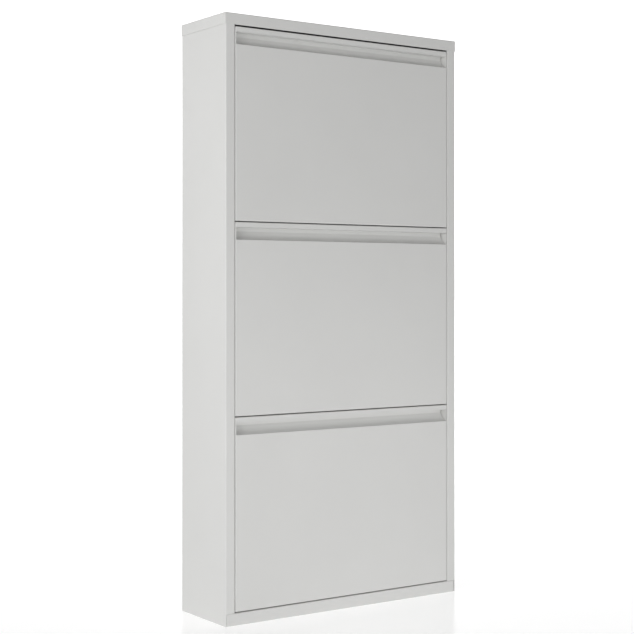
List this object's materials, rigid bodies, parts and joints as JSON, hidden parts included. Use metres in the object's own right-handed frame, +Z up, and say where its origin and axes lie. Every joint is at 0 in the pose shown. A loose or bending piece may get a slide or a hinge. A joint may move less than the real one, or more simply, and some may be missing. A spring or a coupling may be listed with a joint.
{
  "type": "shoe cabinet",
  "caption": "Tall shallow folded-steel shoe cabinet whose flaps tilt out at the top on low side pivots, each with a full-width recessed pull and a shoe tray behind it.",
  "frame": {"origin": "on the floor under the centre of the cabinet's box", "axes": "+X to the cabinet's right seen from the front, +Y to the back, +Z up; the flaps face -Y"},
  "size_m": [0.502, 0.15, 1.03],
  "materials": {
    "powder_coat": "satin light grey powder coat",
    "zinc_steel": "bright zinc plated",
    "nylon": "natural white nylon",
    "buffer_rubber": "translucent grey"
  },
  "bodies": {
    "carcass": {"side_panel_left": "powder_coat", "side_panel_right": "powder_coat", "top_cap": "powder_coat", "base_panel": "powder_coat", "back_panel": "powder_coat", "cap_screw_front_left": "zinc_steel", "cap_screw_front_right": "zinc_steel", "cap_screw_back_left": "zinc_steel", "cap_screw_back_right": "zinc_steel", "hinge_bush_bottom_left": "nylon", "stop_buffer_bottom_left": "buffer_rubber", "hinge_bush_bottom_right": "nylon", "stop_buffer_bottom_right": "buffer_rubber", "hinge_bush_middle_left": "nylon", "stop_buffer_middle_left": "buffer_rubber", "hinge_bush_middle_right": "nylon", "stop_buffer_middle_right": "buffer_rubber", "hinge_bush_top_left": "nylon", "stop_buffer_top_left": "buffer_rubber", "hinge_bush_top_right": "nylon", "stop_buffer_top_right": "buffer_rubber"},
    "flap_bottom": {"door_panel_bottom": "powder_coat", "handle_channel_bottom": "powder_coat", "shoe_tray_bottom": "powder_coat", "tray_cheek_bottom_left": "powder_coat", "hinge_pin_bottom_left": "zinc_steel", "stop_stud_bottom_left": "zinc_steel", "tray_cheek_bottom_right": "powder_coat", "hinge_pin_bottom_right": "zinc_steel", "stop_stud_bottom_right": "zinc_steel"},
    "flap_middle": {"door_panel_middle": "powder_coat", "handle_channel_middle": "powder_coat", "shoe_tray_middle": "powder_coat", "tray_cheek_middle_left": "powder_coat", "hinge_pin_middle_left": "zinc_steel", "stop_stud_middle_left": "zinc_steel", "tray_cheek_middle_right": "powder_coat", "hinge_pin_middle_right": "zinc_steel", "stop_stud_middle_right": "zinc_steel"},
    "flap_top": {"door_panel_top": "powder_coat", "handle_channel_top": "powder_coat", "shoe_tray_top": "powder_coat", "tray_cheek_top_left": "powder_coat", "hinge_pin_top_left": "zinc_steel", "stop_stud_top_left": "zinc_steel", "tray_cheek_top_right": "powder_coat", "hinge_pin_top_right": "zinc_steel", "stop_stud_top_right": "zinc_steel"}
  },
  "joints": [
    {"name": "flap_bottom_tilt", "type": "hinge", "parent": "carcass", "child": "flap_bottom", "pos_m": [0, -0.0675, 0.0452], "axis": [1, 0, 0], "range_deg": [0, 38]},
    {"name": "flap_middle_tilt", "type": "hinge", "parent": "carcass", "child": "flap_middle", "pos_m": [0, -0.0675, 0.3742], "axis": [1, 0, 0], "range_deg": [0, 38]},
    {"name": "flap_top_tilt", "type": "hinge", "parent": "carcass", "child": "flap_top", "pos_m": [0, -0.0675, 0.7032], "axis": [1, 0, 0], "range_deg": [0, 38]}
  ]
}
